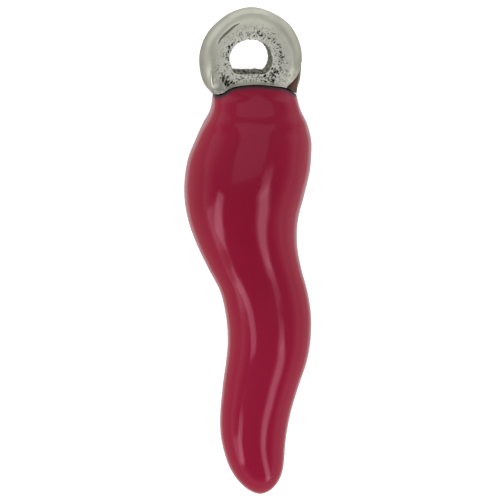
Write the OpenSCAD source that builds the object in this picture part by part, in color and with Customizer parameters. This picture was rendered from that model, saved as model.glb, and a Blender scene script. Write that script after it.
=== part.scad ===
// A chili pepper pendant that lies on its back: a swaying resin pod under one thick cast loop.
// Millimetres. +Z is up, +Y runs towards the loop, +X to the right of the front face.
// Both pieces are drawn round the centre of the loop, front face up, and then laid down as they rest.

/* [Pepper] */
// Distance from the loop's centre to the pepper's tip
reach = 35.9; // [32:0.1:40]
// Widest width of the pepper, across the belly
belly_w = 10.2; // [9:0.1:12]
// Depth of the pepper, as a share of its width square to the sway
roundness = 1; // [0.96:0.01:1.1]
// How much the back that it lies on is flattened, from round up
back_power = 2.4; // [2:0.05:2.5]
// Where the blunt cap of the tip begins, as a share of the reach
cap_from = 0.892; // [0.85:0.002:0.93]
// How full the cap of the tip is at its shoulder
cap_power = 3.1; // [2:0.1:3.5]
// How blunt the cap of the tip is at its end, from a point up to an ellipse
cap_blunt = 1.75; // [1.5:0.05:2]

/* [Loop] */
// Outer radius of the loop
loop_r = 4.22; // [4:0.02:5]
// Thickness of the loop, front to back
loop_t = 3.5; // [3:0.1:4]
// Radius at which the flat face turns into the round shoulder
shoulder_r = 3; // [2.8:0.05:3.2]
// Half the width of the straight band round the loop's outside
band = 0.3; // [0.2:0.05:0.5]
// Radius of the hole's arch
hole_r = 1.76; // [1.5:0.02:1.9]
// Distance from the centre of the arch to the hole's flat floor
hole_floor = 1.22; // [1:0.02:1.4]
// Sideways place of the hole in the loop
hole_x = -0.2; // [-0.3:0.05:0.3]
// Height of the hole's arch above the loop's centre
hole_y = 0.12; // [0:0.02:0.2]

/* [Seat] */
// How far the edge of the saddle stands proud of the resin at the front
proud = 0.16; // [0.1:0.01:0.25]
// How far the edge of the saddle stands proud of the resin at the sides
side_proud = 0.06; // [0.04:0.01:0.15]
// Gap between the saddle and the resin
gap = 0.08; // [0.06:0.01:0.1]
// Drop of the seat's middle below the loop's centre
seat_drop = 2.15; // [2:0.05:2.4]
// Radius of the hidden post
post_r = 0.75; // [0.5:0.05:0.9]
// Length of the post below the seat
post_l = 3; // [2:0.1:4]
// Clearance round the post and under it
post_gap = 0.06; // [0.04:0.01:0.1]

/* [Rest] */
// Angle by which the loop end is raised as the pendant lies on its back
rest_pitch = 3.95; // [0:0.05:10]
// Angle by which the pendant leans to its right as it lies
rest_roll = 3.2; // [0:0.05:10]

/* [Detail] */
// Sides of the pepper's rings
pepper_sides = 32; // [24:4:48]
// Columns round the free part of the loop
ring_cols = 46; // [30:2:60]
// Columns along the edge of the saddle
lip_cols = 26; // [16:2:36]

/* [Hidden] */
resin_red = "#84172e";
old_silver = "#a9a99b";

// The first column of every table says where its row stands
AT = 0;

// The pod's rows stand at shares of the reach. Their other columns are the sway to the right and the
// width, both as shares of the belly's width, the depth as a share of the width, and the depth behind
// as a share of the depth in front, which keeps the back straighter where the pendant lies on it.
SWAY = 1;
WIDTH = 2;
DEPTH = 3;
REAR = 4;
pod_rows = [
    [0.044, 0.027, 0.650, 0.66, 1],
    [0.066, 0.027, 0.680, 0.80, 1],
    [0.089, 0.028, 0.689, 0.92, 1],
    [0.118, 0.035, 0.735, 0.97, 1],
    [0.148, 0.033, 0.841, 0.99, 0.985],
    [0.185, 0.019, 0.937, 1, 0.955],
    [0.222, -0.008, 0.988, 1, 0.915],
    [0.262, -0.029, 1.000, 1, 0.875],
    [0.314, -0.056, 0.965, 1, 0.86],
    [0.368, -0.066, 0.889, 1, 0.905],
    [0.424, -0.033, 0.813, 1, 0.98],
    [0.479, 0.030, 0.752, 1, 1],
    [0.534, 0.105, 0.704, 1, 1],
    [0.589, 0.143, 0.690, 1, 1],
    [0.644, 0.147, 0.670, 1, 1],
    [0.699, 0.122, 0.645, 1, 1],
    [0.755, 0.075, 0.608, 1, 1],
    [0.809, 0.035, 0.571, 1, 1],
    [0.865, 0.022, 0.531, 1, 1],
    [0.919, 0.034, 0.475, 1, 1],
    [1.000, 0.072, 0.395, 1, 1],
];

// The rows of the saddle's edge stand at angles round the neck from the front, with the right side
// positive. Their other column is the drop below the loop's centre.
DROP = 1;
lip_rows = [
    [-180, 1.95],
    [-150, 2.10],
    [-118, 2.62],
    [-90, 2.74],
    [-66, 2.78],
    [-52, 2.62],
    [-38, 2.20],
    [-22, 1.97],
    [0, 1.90],
    [22, 2.03],
    [42, 2.22],
    [60, 2.60],
    [90, 2.94],
    [118, 2.66],
    [150, 2.10],
    [180, 1.95],
];

// The rows of the loop's outline stand at angles from the right. Their other column is the radius as
// a share of the loop's radius.
OUT = 1;
outline_rows = [
    [-26.0, 1.064],
    [-18.4, 1.027],
    [-9.6, 1.003],
    [0.0, 0.985],
    [18.0, 0.989],
    [38.0, 1.002],
    [60.0, 0.998],
    [80.0, 1.010],
    [90.0, 1.018],
    [98.0, 1.003],
    [112.0, 0.986],
    [132.0, 0.974],
    [152.0, 0.986],
    [170.0, 0.996],
    [184.0, 1.008],
    [205.0, 1.024],
    [213.0, 1.022],
];

// The part of a table's rows that holds t
function seg(t, rows, i = 0) = i >= len(rows) - 2 || t < rows[i + 1][AT] ? i : seg(t, rows, i + 1);

// How steeply a column runs at a row
function steep(rows, i, c) =
    let (a = max(i - 1, 0), b = min(i + 1, len(rows) - 1))
    (rows[b][c] - rows[a][c]) / (rows[b][AT] - rows[a][AT]);

// A smooth curve through one column of a table, read at t
function read(t, rows, c) =
    let (
        i = seg(t, rows),
        h = rows[i + 1][AT] - rows[i][AT],
        s = (t - rows[i][AT]) / h,
        p = rows[i][c],
        q = rows[i + 1][c],
        m = steep(rows, i, c) * h,
        n = steep(rows, i + 1, c) * h
    )
    p + s * (m + s * (3 * (q - p) - 2 * m - n + s * (2 * (p - q) + m + n)));

function mix(a, b, t) = a + (b - a) * t;
function ease(t) = let (s = min(max(t, 0), 1)) s * s * (3 - 2 * s);

// Middle, half width and half depth of the pod at a drop below the loop's centre
function tip_cap(t) =
    let (s = max(0, (t - cap_from) / (1 - cap_from)))
    pow(max(0, 1 - pow(s, cap_power)), 1 / cap_blunt);
function pod_x(drop) = belly_w * read(drop / reach, pod_rows, SWAY);
lean_step = 0.2;
function lean(drop) = atan((pod_x(drop + lean_step) - pod_x(drop - lean_step)) / (2 * lean_step));
function pod_a(drop) = belly_w / 2 * read(drop / reach, pod_rows, WIDTH) * tip_cap(drop / reach);
function pod_b(drop) = pod_a(drop) * read(drop / reach, pod_rows, DEPTH) * roundness * cos(lean(drop));

// A point of the pod's skin, at an angle round it from the front: round in front, flatter behind
function bow(v, power) = sign(v) * pow(abs(v), 2 / power);
function pod_point(drop, turn, grow = 0) =
    let (
        power = cos(turn) < 0 ? back_power : 2,
        depth = pod_b(drop) * (cos(turn) < 0 ? read(drop / reach, pod_rows, REAR) : 1)
    )
    [
        pod_x(drop) + (pod_a(drop) + grow) * bow(sin(turn), power),
        -drop,
        (depth + grow) * bow(cos(turn), power),
    ];

// The seat between resin and metal: a shallow saddle from its middle out to the saddle's edge
function lip_drop(turn) = read(turn, lip_rows, DROP);
function seat_point(out, turn) =
    let (edge = pod_point(lip_drop(turn), turn), middle = pod_x(seat_drop))
    [mix(middle, edge[0], out), -mix(seat_drop, lip_drop(turn), out * out), edge[2] * out];

// The same seat found from above: its height under a place across the neck, found in a few tries
seat_tries = 6;
function seat_y(x, z, i = 0, turn = undef) =
    let (
        dx = x - pod_x(seat_drop),
        aim = is_undef(turn) ? atan2(dx, z) : turn,
        edge = pod_point(lip_drop(aim), aim),
        ex = edge[0] - pod_x(seat_drop),
        next = aim + atan2(dx, z) - atan2(ex, edge[2]),
        out = norm([dx, z]) / norm([ex, edge[2]])
    )
    i < seat_tries ? seat_y(x, z, i + 1, next) : -mix(seat_drop, lip_drop(aim), out * out);

// A closed skin over rings of points: side faces, and a fan at each end
function skin_faces(rings, sides) =
    let (last = 1 + (rings - 1) * sides, end = 1 + rings * sides)
    concat(
        [for (j = [0 : sides - 1]) [0, 1 + (j + 1) % sides, 1 + j]],
        [for (k = [0 : rings - 2], j = [0 : sides - 1])
            let (a = 1 + k * sides + j, b = 1 + k * sides + (j + 1) % sides)
            [a, b, b + sides, a + sides]],
        [for (j = [0 : sides - 1]) [end, last + j, last + (j + 1) % sides]]
    );

// The pod's rings, from the bottom of the post's bore, over the seat and down to the tip
bore_r = post_r + post_gap;
bore_drop = seat_drop + post_l + post_gap;
bore_lead = 0.05;
edge_round = 0.07;
level_drop = 4.4;
level_step = 0.75;
neck_rings = 6;
cap_rings = 8;
cap_turn = 87;
seat_steps = [0.4, 0.6, 0.8, 0.93, 0.985];
neck_steps = [for (k = [0 : neck_rings]) k / neck_rings];
body_drops = [for (d = [level_drop + level_step : level_step : reach * cap_from - level_step / 2]) d];
cap_drops = [for (k = [0 : cap_rings]) reach * mix(cap_from, 1, sin(k * cap_turn / cap_rings))];

function pod_ring(kind, t) = [
    for (j = [0 : pepper_sides - 1])
        let (turn = j * 360 / pepper_sides - 180)
        kind == "bore" ? [pod_x(seat_drop) + bore_r * sin(turn), -t, bore_r * cos(turn)]
        : kind == "seat" ? seat_point(t, turn)
        : kind == "neck" ? pod_point(mix(lip_drop(turn) + edge_round, level_drop, t), turn)
        : pod_point(t, turn)
];

pod_points = concat(
    [[pod_x(seat_drop), -bore_drop, 0]],
    pod_ring("bore", bore_drop),
    pod_ring("bore", seat_drop + bore_lead),
    [for (s = seat_steps, p = pod_ring("seat", s)) p],
    [for (s = neck_steps, p = pod_ring("neck", s)) p],
    [for (d = concat(body_drops, cap_drops), p = pod_ring("level", d)) p],
    [[pod_x(reach), -reach, 0]]
);
pod_rings = 2 + len(seat_steps) + len(neck_steps) + len(body_drops) + len(cap_drops);

// Radius of the hole in the loop, from the loop's centre: an arch over a flat floor, corners rounded
corner = 12;
level_sine = 0.05;
function hole_edge(turn) =
    let (
        side = hole_x * cos(turn) + hole_y * sin(turn),
        arch = side + sqrt(hole_r * hole_r - hole_x * hole_x - hole_y * hole_y + side * side),
        floor_r = (hole_floor - hole_y) / max(-sin(turn), level_sine)
    )
    pow(pow(arch, -corner) + pow(floor_r, -corner), -1 / corner);

// The loop's columns run up the right side, over the top, down the left side and back along the
// saddle. Each has the angle of its inner edge, its outer points in front and behind, how round its
// shoulder is, how much its way out bends down, and along the saddle its angle round the neck.
INNER = 0;
FRONT = 1;
BACK = 2;
ROUND = 3;
BENT = 4;
NECK = 5;
tip_turn = 85;
corner_turn = 4;
bend = 0.6;
turn_a = outline_rows[0][AT];
turn_b = outline_rows[len(outline_rows) - 1][AT];
function flip(p) = [p[0], p[1], -p[2]];
function behind(turn) = (turn < 0 ? -180 : 180) - turn;
function lip_point(turn) = pod_point(lip_drop(turn), turn, mix(side_proud, proud, pow(cos(turn), 2)));
function ring_column(t) =
    let (
        turn = mix(turn_a, turn_b, t),
        r = loop_r * read(turn, outline_rows, OUT),
        outer = [r * cos(turn), r * sin(turn), band]
    )
    [turn, outer, flip(outer), 1, 0];
function lip_column(t) =
    let (
        turn = mix(-tip_turn, tip_turn, t),
        inner = mix(turn_b + corner_turn, turn_a + 360 - corner_turn, t),
        side = abs(sin(turn))
    )
    [inner, lip_point(turn), lip_point(behind(turn)), pow(side, 3), bend * side * side, turn];

// One row of a face, at a share of the way from the hole to the outer point
front_rows = 9;
flat_rows = 3;
outer_rows = 9;
wall_rows = 2;
flat_least = 0.3;
flat_most = 0.75;
function inner_edge(turn) = hole_edge(turn) * [cos(turn), sin(turn)];
function face_point(col, outer, k) =
    let (
        inner = inner_edge(col[INNER]),
        rim = [outer[0], outer[1]],
        level = (shoulder_r - norm(inner)) / (norm(rim) - norm(inner)),
        flat = min(flat_most, max(flat_least, level)),
        arc = max(0, (k - flat_rows) / (front_rows - flat_rows)) * 90,
        shoulder = mix(flat, 1, mix(arc / 90, sin(arc), col[ROUND])),
        out = k <= flat_rows ? flat * k / flat_rows : shoulder,
        fall = mix(ease(arc / 90), 1 - cos(arc), col[ROUND]),
        across = mix(out, sin(out * 90), col[BENT]),
        down = mix(out, 1 - cos(out * 90), col[BENT])
    )
    [mix(inner[0], rim[0], across), mix(inner[1], rim[1], down), mix(loop_t / 2, outer[2], fall)];

// A point across the outside of the loop or the underside of the saddle, at a share of the way back
function outer_point(col, t) =
    is_undef(col[NECK]) ? mix(col[FRONT], col[BACK], t) : under_point(col[NECK], t);
function under_point(turn, t) =
    let (
        front = pod_point(lip_drop(turn), turn),
        back = pod_point(lip_drop(behind(turn)), behind(turn)),
        at = mix(front, back, t)
    )
    [at[0], seat_y(at[0], at[2]) + gap, at[2]];

// A whole column: over the front face, across the outside, over the back face and through the hole
function loop_column(col) = concat(
    [for (k = [0 : front_rows]) face_point(col, col[FRONT], k)],
    [for (k = [1 : outer_rows]) outer_point(col, (1 - cos(180 * k / (outer_rows + 1))) / 2)],
    [for (k = [front_rows : -1 : 0]) flip(face_point(col, flip(col[BACK]), k))],
    [for (k = [1 : wall_rows]) concat(inner_edge(col[INNER]), [loop_t * (k / (wall_rows + 1) - 0.5)])]
);

loop_cols = ring_cols + lip_cols;
col_len = 2 * (front_rows + 1) + outer_rows + wall_rows;
loop_points = concat(
    [for (i = [0 : ring_cols - 1], p = loop_column(ring_column((i + 0.5) / ring_cols))) p],
    [for (i = [0 : lip_cols - 1], p = loop_column(lip_column(i / (lip_cols - 1)))) p]
);
loop_faces = [
    for (i = [0 : loop_cols - 1], k = [0 : col_len - 1])
        let (
            a = i * col_len + k,
            b = i * col_len + (k + 1) % col_len,
            step = ((i + 1) % loop_cols - i) * col_len
        )
        [a, a + step, b + step, b]
];

// How the pendant lies: on its belly and its middle bend, with its box centred on the origin
function laid(p) =
    let (
        x = p[0] * cos(rest_roll) + p[2] * sin(rest_roll),
        s = p[2] * cos(rest_roll) - p[0] * sin(rest_roll)
    )
    [x, p[1] * cos(rest_pitch) - s * sin(rest_pitch), p[1] * sin(rest_pitch) + s * cos(rest_pitch)];
all_laid = [for (p = concat(pod_points, loop_points)) laid(p)];
low = [for (a = [0 : 2]) min([for (p = all_laid) p[a]])];
high = [for (a = [0 : 2]) max([for (p = all_laid) p[a]])];

module lay() {
    translate([-(low[0] + high[0]) / 2, -(low[1] + high[1]) / 2, -low[2]])
        rotate([rest_pitch, 0, 0])
            rotate([0, rest_roll, 0])
                children();
}

module pepper() {
    color(resin_red)
        lay()
            polyhedron(pod_points, skin_faces(pod_rings, pepper_sides));
}

post_root = 0.6;
module loop() {
    color(old_silver)
        lay()
            union() {
                polyhedron(loop_points, loop_faces);
                translate([pod_x(seat_drop), post_root - seat_drop, 0])
                    rotate([90, 0, 0])
                        cylinder(r = post_r, h = post_l + post_root, $fn = 48);
            }
}

pepper();
loop();
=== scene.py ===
import math
from functools import partial
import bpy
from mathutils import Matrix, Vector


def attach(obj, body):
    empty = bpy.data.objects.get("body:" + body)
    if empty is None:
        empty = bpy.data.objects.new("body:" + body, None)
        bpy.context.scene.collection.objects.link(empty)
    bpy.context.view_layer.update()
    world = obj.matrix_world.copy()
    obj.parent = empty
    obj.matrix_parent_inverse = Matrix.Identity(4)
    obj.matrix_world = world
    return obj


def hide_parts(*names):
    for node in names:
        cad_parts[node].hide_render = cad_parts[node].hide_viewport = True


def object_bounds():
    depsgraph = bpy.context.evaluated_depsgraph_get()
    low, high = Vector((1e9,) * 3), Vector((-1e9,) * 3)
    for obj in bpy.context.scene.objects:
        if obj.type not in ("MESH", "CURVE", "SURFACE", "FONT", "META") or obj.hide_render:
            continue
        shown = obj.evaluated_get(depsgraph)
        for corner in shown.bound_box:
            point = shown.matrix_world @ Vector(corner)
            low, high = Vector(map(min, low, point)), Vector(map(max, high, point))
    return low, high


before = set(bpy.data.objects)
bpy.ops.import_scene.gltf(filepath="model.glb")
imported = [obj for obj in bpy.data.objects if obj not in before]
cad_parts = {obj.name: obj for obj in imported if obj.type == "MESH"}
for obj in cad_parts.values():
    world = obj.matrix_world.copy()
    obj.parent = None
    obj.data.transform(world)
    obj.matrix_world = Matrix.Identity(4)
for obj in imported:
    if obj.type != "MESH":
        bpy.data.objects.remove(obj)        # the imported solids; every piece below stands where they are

from types import SimpleNamespace

import bpy
import numpy as np
from mathutils import Matrix

mm = 0.001
perMetre = 1 / mm
scene = bpy.context.scene
cadLow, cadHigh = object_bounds()
print("frame loaded:", sorted(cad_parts))


# Shared curves. Lengths are millimetres in the pendant's own frame: the loop's centre is the origin,
# Y runs up to the loop's top, Z out of the front face. lieDown() lays a piece on the floor.

def mix(a, b, t):
    # a where t is 0, b where it is 1, in line between
    return a + (b - a) * t


def ramp(v, start, end):
    # 0 before start, 1 after end, and an S-shaped step (3s^2 - 2s^3) between
    s = np.clip((v - start) / (end - start), 0, 1)
    return s * s * (3 - 2 * s)


def readTable(rows, at, column):
    # Cubic between two rows, with the rows' values at its ends and the slopes their neighbours give
    table = np.array(rows, float)
    x, y = table[:, 0], table[:, column]
    ahead = np.minimum(np.arange(len(x)) + 1, len(x) - 1)
    behind = np.maximum(np.arange(len(x)) - 1, 0)
    slope = (y[ahead] - y[behind]) / (x[ahead] - x[behind])
    i = np.clip(np.searchsorted(x, at, side="right") - 1, 0, len(x) - 2)
    h = x[i + 1] - x[i]
    s = (at - x[i]) / h
    p, q, m, n = y[i], y[i + 1], slope[i] * h, slope[i + 1] * h
    return p + s * (m + s * (3 * (q - p) - 2 * m - n + s * (2 * (p - q) + m + n)))


def bow(v, power):
    # A circle's sine or cosine, squared up: sign(v) * |v|^(2 / power)
    return np.sign(v) * np.abs(v) ** (2 / power)


def window(v, start, end, soft):
    # 1 from start to end, with a soft step at both
    return ramp(v, start - soft, start) * (1 - ramp(v, end, end + soft))


def bell(v, wide):
    # e^-(v / wide)^2
    return np.exp(-(v / wide) ** 2)


def ripple(points, wave, seed, count=18):
    # Smooth lumps of about -1 to 1: a sum of sine waves in seeded directions, each near wave mm long,
    # over the root of half their count and their usual peak
    rng = np.random.default_rng(seed)
    heading = rng.normal(size=(count, 3))
    heading /= np.linalg.norm(heading, axis=1)[:, None]
    length = wave * rng.uniform(0.75, 1.35, count)
    phase = rng.uniform(0, 2 * np.pi, count)
    total = np.zeros(points.shape[:-1])
    for n in range(count):
        total += np.sin(points @ heading[n] * (2 * np.pi / length[n]) + phase[n])
    peak = 1.6
    return total / math.sqrt(count / 2) / peak


rest = {
    "pitch": 3.95,  # degrees by which its loop end is raised
    "roll": 3.2,  # degrees by which it leans to its right
}


def turned(points, pitchDegrees, rollDegrees):
    # Roll about Y, then pitch about X
    roll, pitch = math.radians(rollDegrees), math.radians(pitchDegrees)
    x, y, z = points[..., 0], points[..., 1], points[..., 2]
    s = z * math.cos(roll) - x * math.sin(roll)
    return np.stack([x * math.cos(roll) + z * math.sin(roll),
                     y * math.cos(pitch) - s * math.sin(pitch),
                     y * math.sin(pitch) + s * math.cos(pitch)], -1)


def lieDown(points):
    # From the pendant's own frame to its rest on the floor
    return turned(points, rest["pitch"], rest["roll"])


def quadStrip(rows, sides, closeRows=False):
    # Faces of a grid that closes round its sides, and round its rows too if asked
    k, j = np.meshgrid(np.arange(rows if closeRows else rows - 1), np.arange(sides), indexing="ij")
    k, j = k.ravel(), j.ravel()
    k2, j2 = (k + 1) % rows, (j + 1) % sides
    return np.stack([k * sides + j, k2 * sides + j, k2 * sides + j2, k * sides + j2], 1)


def unitNormals(grid, along):
    # The cross product of the steps along and around a grid that closes round its second direction
    around = (np.roll(grid, -1, 1) - np.roll(grid, 1, 1)) / 2
    normal = np.cross(along, around)
    return normal / np.maximum(np.linalg.norm(normal, axis=-1, keepdims=True), 1e-9)


def closedTube(rings, first, last):
    # Points and faces of a row of rings with a fan to a point at either end
    count, sides = rings.shape[:2]
    points = np.concatenate([rings.reshape(-1, 3), [first, last]])
    j = np.arange(sides)
    j2 = (j + 1) % sides
    end = (count - 1) * sides
    firstFan = np.stack([np.full(sides, count * sides), j, j2], 1)
    lastFan = np.stack([np.full(sides, count * sides + 1), end + j2, end + j], 1)
    return points, quadStrip(count, sides).tolist() + firstFan.tolist() + lastFan.tolist()


def addObject(name, data):
    made = bpy.data.objects.new(name, data)
    scene.collection.objects.link(made)
    return made


def makePiece(name, points, faces, node, marks):
    # Points in own mm go to their place in metres, and marks become point attributes
    mesh = bpy.data.meshes.new(name)
    place = lieDown(points.reshape(-1, 3)) * mm + ownOrigin
    mesh.from_pydata(place.tolist(), [], faces)
    mesh.shade_smooth()
    for key, values in marks.items():
        layer = mesh.attributes.new(key, "FLOAT", "POINT")
        layer.data.foreach_set("value", values.ravel().astype(np.float32))
    mesh.validate()
    mesh.update()
    piece = addObject(name, mesh)
    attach(piece, "root")
    if node:
        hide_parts(node)
    print(name, "has", len(mesh.polygons), "faces")
    return piece


# The pepper: a swaying resin pod with a blind bore for the loop's post

podRows = [
    # share of the reach, sway right and width in belly widths, depth as a share of the width, and
    # depth behind as a share of the depth in front
    (0.044, 0.027, 0.65, 0.66, 1),
    (0.066, 0.027, 0.68, 0.8, 1),
    (0.089, 0.028, 0.689, 0.92, 1),
    (0.118, 0.035, 0.735, 0.97, 1),
    (0.148, 0.033, 0.841, 0.99, 0.985),
    (0.185, 0.019, 0.937, 1, 0.955),
    (0.222, -0.008, 0.988, 1, 0.915),
    (0.262, -0.029, 1, 1, 0.875),
    (0.314, -0.056, 0.965, 1, 0.86),
    (0.368, -0.066, 0.889, 1, 0.905),
    (0.424, -0.033, 0.813, 1, 0.98),
    (0.479, 0.03, 0.752, 1, 1),
    (0.534, 0.105, 0.704, 1, 1),
    (0.589, 0.143, 0.69, 1, 1),
    (0.644, 0.147, 0.67, 1, 1),
    (0.699, 0.122, 0.645, 1, 1),
    (0.755, 0.075, 0.608, 1, 1),
    (0.809, 0.035, 0.571, 1, 1),
    (0.865, 0.022, 0.531, 1, 1),
    (0.919, 0.034, 0.475, 1, 1),
    (1, 0.072, 0.395, 1, 1),
]
lipRows = [
    # angle round the neck from the front, right side positive, and drop of the saddle's edge
    (-180, 1.95),
    (-150, 2.1),
    (-118, 2.62),
    (-90, 2.74),
    (-66, 2.78),
    (-52, 2.62),
    (-38, 2.2),
    (-22, 1.97),
    (0, 1.9),
    (22, 2.03),
    (42, 2.22),
    (60, 2.6),
    (90, 2.94),
    (118, 2.66),
    (150, 2.1),
    (180, 1.95),
]
podShape = {
    "reach": 35.9,  # from the loop's centre to the tip
    "bellyWidth": 10.2,
    "backPower": 2.4,  # how flat the back is, 2 is round
    "neckPower": 2.6,  # how flat the front of the neck is,
    "neckFrom": (2.7, 3.5),  # between these drops
    "neckTo": (4.8, 6.0),
    "evenOut": 3.0,  # mm over which the depth is evened out,
    "evenFrom": (5, 9),  # where it sets in
    "capFrom": 0.892,  # where the tip's cap begins, as a share of the reach
    "capPower": 3.1,
    "capBlunt": 1.75,
    "capTurn": 89,
    "seatDrop": 2.15,  # middle of the seat below the loop's centre
    "seatShares": (0.3, 0.4, 0.5, 0.6, 0.7, 0.8, 0.88, 0.94, 0.97, 0.985, 0.995),
    "levelDrop": 4.4,  # from here down the rings lie level
    "boreRadius": 0.81,
    "boreDrop": 5.21,
    "boreShares": (0.35, 0.7, 0.95),
    "edgeRound": 0.07,  # the neck begins this far below the seat's edge
    "swell": 0.03,  # depth of the slow unevenness that polishing leaves
    "swellSize": 6,
    "creviceShadeFade": (0.14, 0.5),  # below the saddle's edge
    "tipGlowFade": (14, 27),  # below the loop's centre
    "sides": 144,
    "boreRings": 14,
    "neckRings": 22,
    "bodyRings": 150,
    "capRings": 33,
}


def podMiddle(drop):
    # Sway to the right this far below the loop's centre
    return podShape["bellyWidth"] * readTable(podRows, drop / podShape["reach"], 1)


def podCap(drop):
    # Closes the tip by (1 - s^p)^(1/q), where s runs from 0 to 1 along the cap
    s = np.maximum(0, (drop / podShape["reach"] - podShape["capFrom"]) / (1 - podShape["capFrom"]))
    return np.maximum(0, 1 - s ** podShape["capPower"]) ** (1 / podShape["capBlunt"])


def podHalfWidth(drop):
    # Half the table's width, drawn in by the cap
    return podShape["bellyWidth"] / 2 * readTable(podRows, drop / podShape["reach"], 2) * podCap(drop)


def podHalfDepth(drop):
    # The width square to the sway, times the table's depth, as a weighted mean over a stretch of the
    # pod, so that highlights run on without a break
    reach, step = podShape["reach"], 0.2
    stretch = podShape["evenOut"] * ramp(drop, *podShape["evenFrom"])
    shares = np.linspace(-0.8, 0.8, 9)
    total = 0
    for share in shares:
        at = np.minimum(drop + share * stretch, reach)
        lean = np.arctan((podMiddle(at + step) - podMiddle(at - step)) / (2 * step))
        wide = readTable(podRows, at / reach, 2) * readTable(podRows, at / reach, 3)
        total = total + (1 - share * share) * wide * np.cos(lean)
    total /= np.sum(1 - shares ** 2)
    return podShape["bellyWidth"] / 2 * total * podCap(drop)


def podPoint(drop, turn, grow=0):
    # An ellipse round the pod's middle: round in front, squared up and flatter behind, grown by grow
    isBack = np.cos(turn) < 0
    neck = ramp(drop, *podShape["neckFrom"]) * (1 - ramp(drop, *podShape["neckTo"]))
    power = np.where(isBack, podShape["backPower"], mix(2, podShape["neckPower"], neck))
    rear = readTable(podRows, drop / podShape["reach"], 4)
    depth = podHalfDepth(drop) * np.where(isBack, rear, 1)
    across = (podHalfWidth(drop) + grow) * bow(np.sin(turn), power)
    front = (depth + grow) * bow(np.cos(turn), power)
    return np.stack(np.broadcast_arrays(podMiddle(drop) + across, -drop, front), -1)


def lipDrop(turn):
    # Drop of the saddle's edge at an angle round the neck
    return readTable(lipRows, np.degrees(turn), 1)


def seatHeight(x, z):
    # Height of the saddle-shaped seat: a few tries find the angle round the neck whose edge lies in the
    # place's direction, and the seat goes to that edge with the square of the way out
    tries = 7
    middle = podMiddle(podShape["seatDrop"])
    want = aim = np.arctan2(x - middle, z)
    for n in range(tries):
        edge = podPoint(lipDrop(aim), aim)
        edgeX, edgeZ = edge[..., 0] - middle, edge[..., 2]
        out = np.hypot(x - middle, z) / np.hypot(edgeX, edgeZ)
        if n < tries - 1:
            miss = want - np.arctan2(edgeX, edgeZ)
            aim = aim + (miss + np.pi) % (2 * np.pi) - np.pi
            aim = (aim + np.pi) % (2 * np.pi) - np.pi
    return -mix(podShape["seatDrop"], lipDrop(aim), out * out)


def makePepper():
    # Rings up the bore, out over the seat, down the neck, where they turn level, and on to the tip
    p = podShape
    turn = (np.arange(p["sides"]) / p["sides"] * 2 - 1) * np.pi
    middle = podMiddle(p["seatDrop"])
    edge = podPoint(lipDrop(turn), turn)

    def boreRing(drop, radius):
        x, z = middle + radius * np.sin(turn), radius * np.cos(turn)
        return np.stack([x, np.full_like(turn, -drop), z], -1)

    def seatRing(s):
        # s of the way out to the edge, and s squared of the way down to it
        height = -mix(p["seatDrop"], -edge[:, 1], s * s)
        return np.stack([mix(middle, edge[:, 0], s), height, edge[:, 2] * s], -1)

    def neckRing(s):
        return podPoint(mix(lipDrop(turn) + p["edgeRound"], p["levelDrop"], s), turn)

    rings = [boreRing(p["boreDrop"], p["boreRadius"] * s) for s in p["boreShares"]]
    boreDrops = np.linspace(p["boreDrop"], p["seatDrop"] + 0.05, p["boreRings"])
    rings += [boreRing(drop, p["boreRadius"]) for drop in boreDrops]
    rings += [seatRing(s) for s in p["seatShares"]]
    rings += [neckRing(s) for s in np.linspace(0, 1, p["neckRings"])]
    bodyDrops = np.linspace(p["levelDrop"], p["reach"] * p["capFrom"], p["bodyRings"] + 1)[1:]
    capTurns = np.linspace(0, math.radians(p["capTurn"]), p["capRings"] + 1)[1:]
    capDrops = p["reach"] * mix(p["capFrom"], 1, np.sin(capTurns))
    rings += [podPoint(drop, turn) for drop in (*bodyDrops, *capDrops)]
    rings = np.array(rings)
    swell = p["swell"] * (ripple(rings, p["swellSize"], 11) - 1)
    rings += unitNormals(rings, np.gradient(rings, axis=0)) * swell[..., None]
    foot = [middle, -p["boreDrop"], 0]
    tip = [podMiddle(p["reach"]), -p["reach"], 0]
    points, faces = closedTube(rings, foot, tip)

    # Painted shade and dark reflection where resin meets metal, with some brown glue: 1 at the saddle's
    # edge, and none a little below it
    crevice = np.zeros(len(points))
    below = -rings[..., 1] - lipDrop(turn)[None, :]
    crevice[:below.size] = (1 - ramp(below, *p["creviceShadeFade"])).ravel()
    # Painted light shining through the resin, stronger towards the thin tip
    thin = ramp(-points[:, 1], *p["tipGlowFade"])
    return makePiece("pepper_body", points, faces, "pepper", {"crevice": crevice, "thin": thin})


# The loop: one casting, a thick ring whose lower half spreads into a saddle round the neck

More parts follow.
